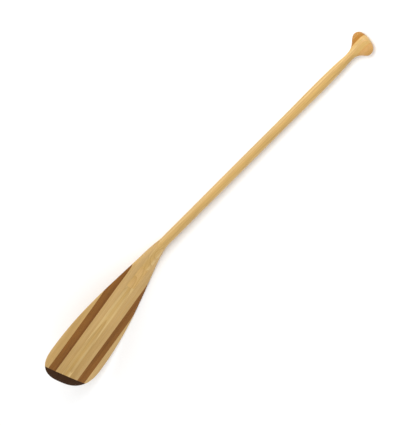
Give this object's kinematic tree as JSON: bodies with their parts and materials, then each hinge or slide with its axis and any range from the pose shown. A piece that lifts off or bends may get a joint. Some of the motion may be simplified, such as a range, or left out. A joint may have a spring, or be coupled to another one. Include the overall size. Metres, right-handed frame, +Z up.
{
  "type": "canoe paddle",
  "caption": "Laminated wooden paddle with one striped blade, a bent shaft, a turned palm grip and a dark cast guard around the blade's tip.",
  "frame": {"origin": "on the floor under the middle of the bounding box, the paddle lying at rest face up", "axes": "+X along the paddle from the blade to the grip, +Z up; the paddle rests on its right blade edge, its heel and its grip"},
  "size_m": [1.4388, 0.1348, 0.1561],
  "materials": {
    "ply_pale": "gloss varnish",
    "ply_warm": "gloss varnish",
    "strip_light": "gloss varnish",
    "strip_dark": "gloss varnish",
    "grip_wood": "gloss varnish",
    "resin": "cast, gloss"
  },
  "bodies": {
    "root": {"grip_cheek_left": "grip_wood", "grip_cheek_right": "grip_wood", "ply_1_back": "ply_pale", "ply_2_back": "ply_warm", "ply_3_back": "ply_pale", "ply_4_core": "ply_warm", "ply_5_face": "ply_pale", "ply_6_face": "ply_warm", "ply_7_face": "ply_pale", "strip_left_dark": "strip_dark", "strip_left_inner": "strip_light", "strip_left_outer": "strip_light", "strip_right_dark": "strip_dark", "strip_right_inner": "strip_light", "strip_right_outer": "strip_light", "tip_guard": "resin"}
  },
  "joints": []
}
